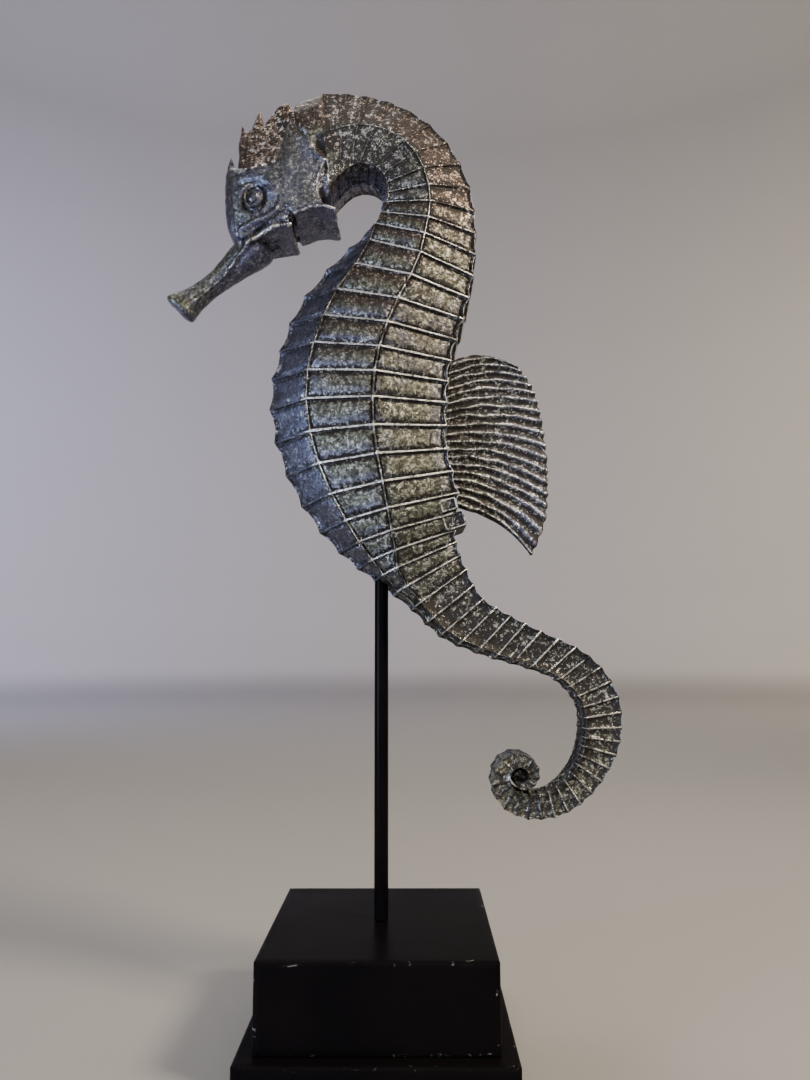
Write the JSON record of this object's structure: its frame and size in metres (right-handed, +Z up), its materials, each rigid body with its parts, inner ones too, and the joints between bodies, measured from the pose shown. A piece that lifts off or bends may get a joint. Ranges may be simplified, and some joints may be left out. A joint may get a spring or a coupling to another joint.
{
  "type": "seahorse statue on a stand",
  "caption": "Decorative seahorse statue: a ringed body in antiqued silver leaf, with a fanned back fin and curled tail, held by a thin rod in a black two-step base.",
  "frame": {"origin": "middle of the underside of the base, on the surface that the statue stands on", "axes": "+Z up; -X the way the seahorse faces; the statue mirrors across Y = 0"},
  "size_m": [0.282, 0.145, 0.5839],
  "materials": {
    "silver_leaf": "cast resin under worn silver leaf with greenish gold patches and black in the recesses",
    "copper_leaf": "cast resin under hammered silver leaf worn to a copper brown",
    "eye_silver": "dark polished silver",
    "black_rod": "satin black",
    "black_wood": "satin black paint, rubbed along the edges"
  },
  "bodies": {
    "root": {"head": "silver_leaf", "snout": "silver_leaf", "neck_crown": "silver_leaf", "neck_nape": "silver_leaf", "trunk_chest": "silver_leaf", "trunk_belly": "silver_leaf", "tail_root": "silver_leaf", "tail_middle": "silver_leaf", "tail_bend": "silver_leaf", "tail_hook": "silver_leaf", "tail_coil": "silver_leaf", "dorsal_fin": "silver_leaf", "coronet": "copper_leaf", "eye_left": "eye_silver", "eye_right": "eye_silver", "stand_rod": "black_rod", "stand_block": "black_wood", "stand_plinth": "black_wood"}
  },
  "joints": []
}
